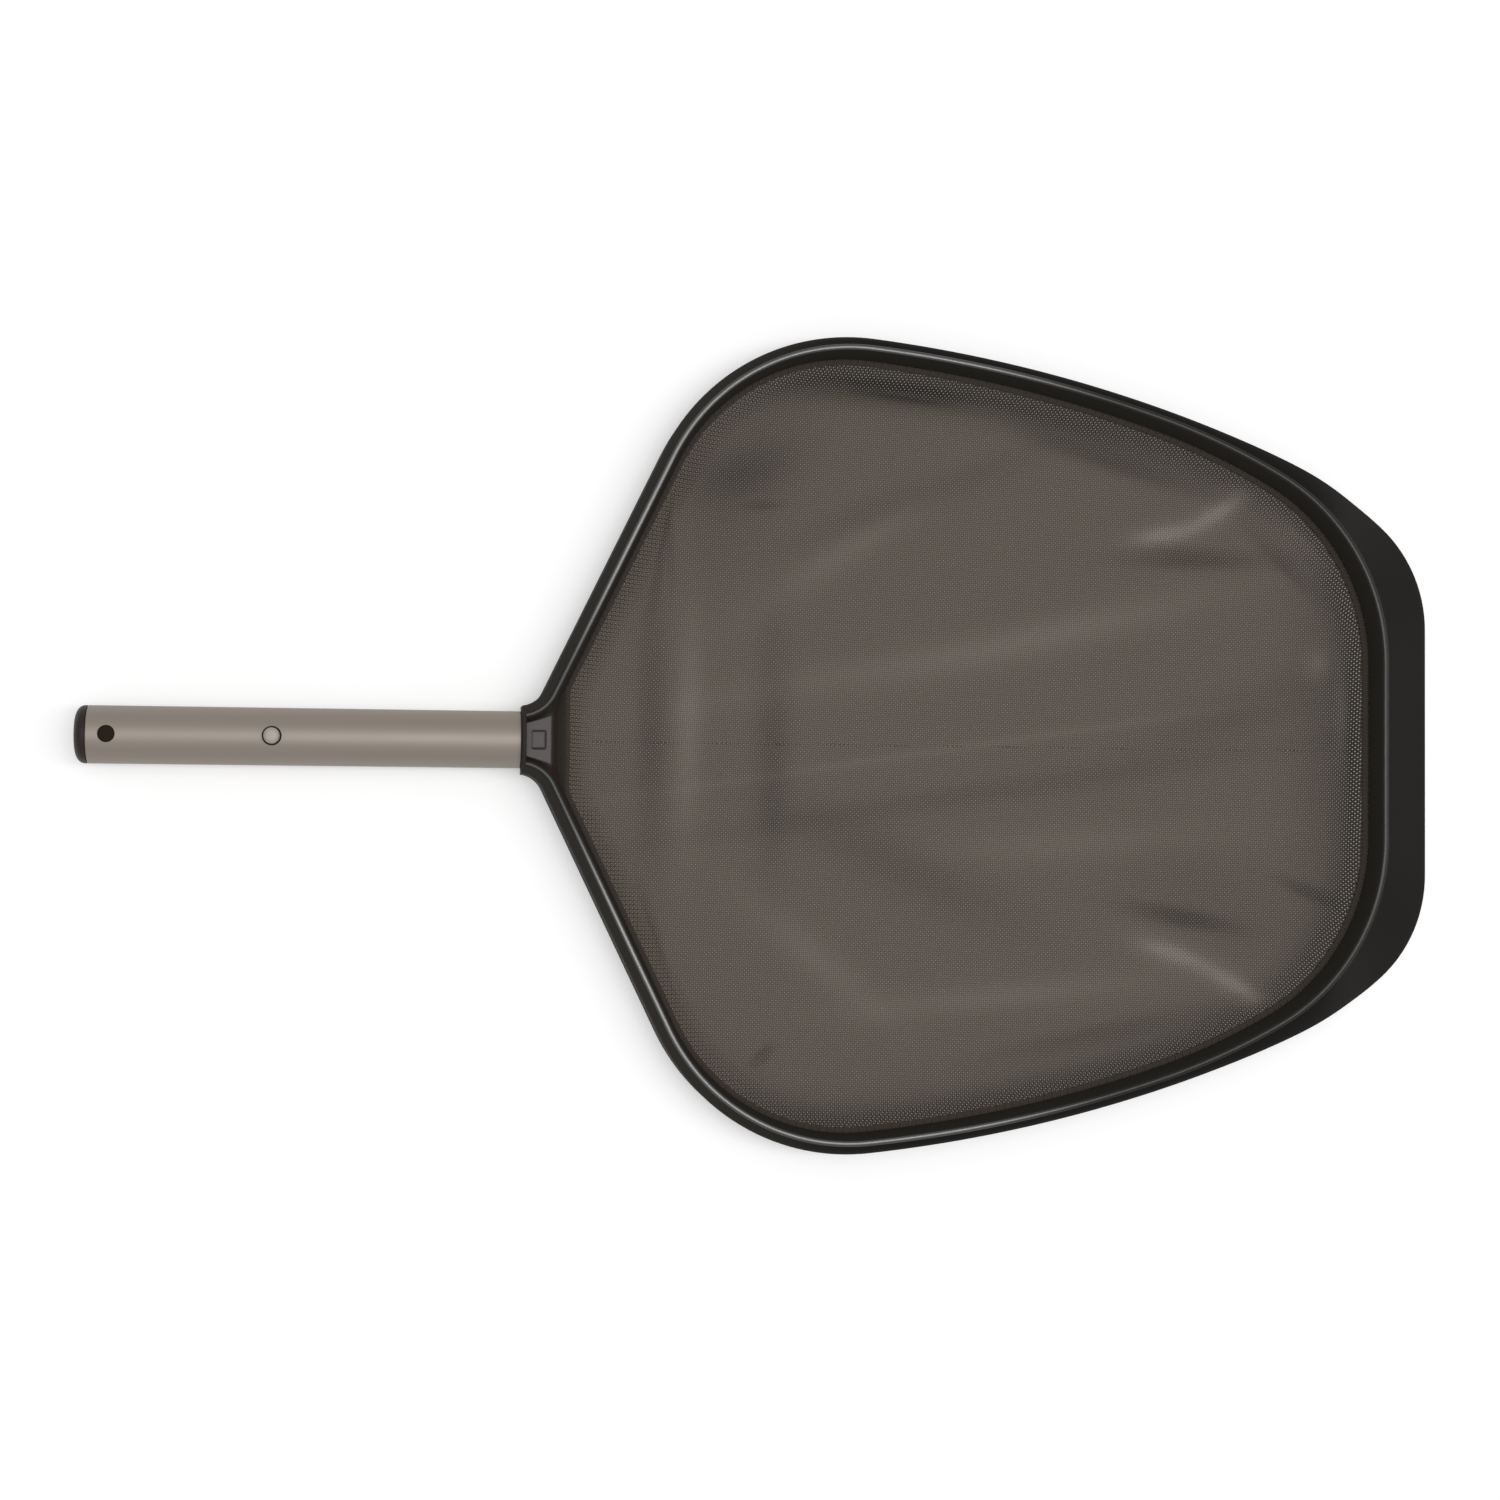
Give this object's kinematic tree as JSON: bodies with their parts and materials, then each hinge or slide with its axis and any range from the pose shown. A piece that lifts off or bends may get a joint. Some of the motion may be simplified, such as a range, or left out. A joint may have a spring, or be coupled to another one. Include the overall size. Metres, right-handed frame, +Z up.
{
  "type": "leaf skimmer net",
  "caption": "Flat pool leaf skimmer: moulded hoop with a scoop lip, shallow mesh tray clamped from below, short tube handle with two sprung lock buttons.",
  "frame": {"origin": "centre of the bounding box in X and Y, on the floor that the hoop rests on", "axes": "+X from the handle's end plug to the scoop lip, +Z up out of the net's mouth, +Y to the left of +X"},
  "size_m": [0.7004, 0.4162, 0.0384],
  "materials": {
    "black_plastic": "satin moulded plastic",
    "grey_mesh": "fine open mesh",
    "black_cord": "braided cord",
    "anodised_aluminium": "taupe anodised, satin",
    "steel": "stainless, satin"
  },
  "bodies": {
    "skimmer": {"frame": "black_plastic", "clamp_ring": "black_plastic", "net_cord": "black_cord", "net_bag": "grey_mesh", "handle_tube": "anodised_aluminium", "end_plug": "black_plastic", "snap_spring": "steel", "ring_screw_01": "steel", "ring_screw_02": "steel", "ring_screw_03": "steel", "ring_screw_04": "steel", "ring_screw_05": "steel", "ring_screw_06": "steel", "ring_screw_07": "steel", "ring_screw_08": "steel", "ring_screw_09": "steel", "ring_screw_10": "steel", "ring_screw_11": "steel", "ring_screw_12": "steel", "handle_screw_1": "steel", "handle_screw_2": "steel"},
    "upper_button": {"button_upper": "steel"},
    "lower_button": {"button_lower": "steel"}
  },
  "joints": [
    {"name": "upper_button_press", "type": "slide", "parent": "skimmer", "child": "upper_button", "axis": [0, 0, -1], "range_m": [0, 0.0055], "stiffness_N_per_m": 900, "deforming": ["snap_spring"]},
    {"name": "lower_button_press", "type": "slide", "parent": "skimmer", "child": "lower_button", "axis": [0, 0, 1], "range_m": [0, 0.0055], "stiffness_N_per_m": 900, "deforming": ["snap_spring"]}
  ]
}
